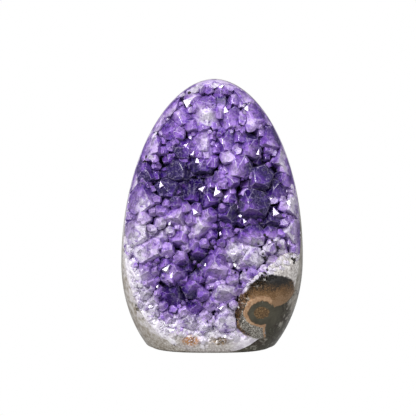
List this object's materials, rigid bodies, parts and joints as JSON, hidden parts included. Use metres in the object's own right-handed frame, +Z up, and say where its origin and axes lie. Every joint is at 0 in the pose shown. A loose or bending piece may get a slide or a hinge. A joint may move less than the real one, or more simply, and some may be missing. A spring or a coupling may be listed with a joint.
{
  "type": "amethyst geode",
  "caption": "Egg-shaped amethyst geode with a polished dark rind, a white quartz layer, a brown agate eye and violet crystal points, standing on a sawn flat base as an ornament.",
  "frame": {"origin": "middle of the sawn base, at the bottom of the bounding box", "axes": "+Z up; -Y out of the open crystal front; +X to the right seen from the front"},
  "size_m": [0.0816, 0.0559, 0.12],
  "materials": {
    "grey_rind": "polished",
    "white_quartz": "sugary, satin",
    "iron_agate": "polished",
    "amethyst_pale": "natural glossy crystal faces",
    "amethyst_lilac": "natural glossy crystal faces",
    "amethyst_violet": "natural glossy crystal faces",
    "amethyst_deep": "natural glossy crystal faces"
  },
  "bodies": {
    "root": {"stone_rind": "grey_rind", "quartz_layer": "white_quartz", "iron_agate_nodule": "iron_agate", "amethyst_crystal_01": "amethyst_pale", "amethyst_crystal_02": "amethyst_pale", "amethyst_crystal_03": "amethyst_lilac", "amethyst_crystal_04": "amethyst_violet", "amethyst_crystal_05": "amethyst_violet", "amethyst_crystal_06": "amethyst_pale", "amethyst_crystal_07": "amethyst_violet", "amethyst_crystal_08": "amethyst_deep", "amethyst_crystal_09": "amethyst_pale", "amethyst_crystal_10": "amethyst_lilac", "amethyst_crystal_11": "amethyst_deep", "amethyst_crystal_12": "amethyst_deep", "amethyst_crystal_13": "amethyst_pale", "amethyst_crystal_14": "amethyst_violet", "amethyst_crystal_15": "amethyst_deep", "amethyst_crystal_16": "amethyst_lilac", "amethyst_crystal_17": "amethyst_violet", "amethyst_crystal_18": "amethyst_lilac", "amethyst_crystal_19": "amethyst_deep", "amethyst_crystal_20": "amethyst_deep", "amethyst_crystal_21": "amethyst_lilac", "amethyst_crystal_22": "amethyst_pale", "amethyst_crystal_23": "amethyst_violet", "amethyst_crystal_24": "amethyst_lilac", "amethyst_crystal_25": "amethyst_deep", "amethyst_crystal_26": "amethyst_lilac", "amethyst_crystal_27": "amethyst_lilac", "amethyst_crystal_28": "amethyst_pale", "amethyst_crystal_29": "amethyst_pale", "amethyst_crystal_30": "amethyst_violet", "amethyst_crystal_31": "amethyst_violet", "amethyst_crystal_32": "amethyst_pale", "amethyst_crystal_33": "amethyst_lilac", "amethyst_crystal_34": "amethyst_pale", "amethyst_crystal_35": "amethyst_pale", "amethyst_crystal_36": "amethyst_deep", "amethyst_crystal_37": "amethyst_pale", "amethyst_crystal_38": "amethyst_pale", "amethyst_crystal_39": "amethyst_pale", "amethyst_crystal_40": "amethyst_pale", "amethyst_crystal_41": "amethyst_violet", "amethyst_crystal_42": "amethyst_violet", "amethyst_crystal_43": "amethyst_lilac", "amethyst_crystal_44": "amethyst_lilac", "amethyst_crystal_45": "amethyst_lilac", "amethyst_crystal_46": "amethyst_violet", "amethyst_crystal_47": "amethyst_violet", "amethyst_crystal_48": "amethyst_lilac", "amethyst_crystal_49": "amethyst_violet", "amethyst_crystal_50": "amethyst_violet", "amethyst_crystal_51": "amethyst_violet", "amethyst_crystal_52": "amethyst_pale", "amethyst_crystal_53": "amethyst_violet", "amethyst_crystal_54": "amethyst_deep", "amethyst_crystal_55": "amethyst_pale", "amethyst_crystal_56": "amethyst_deep", "amethyst_crystal_57": "amethyst_pale"}
  },
  "joints": []
}
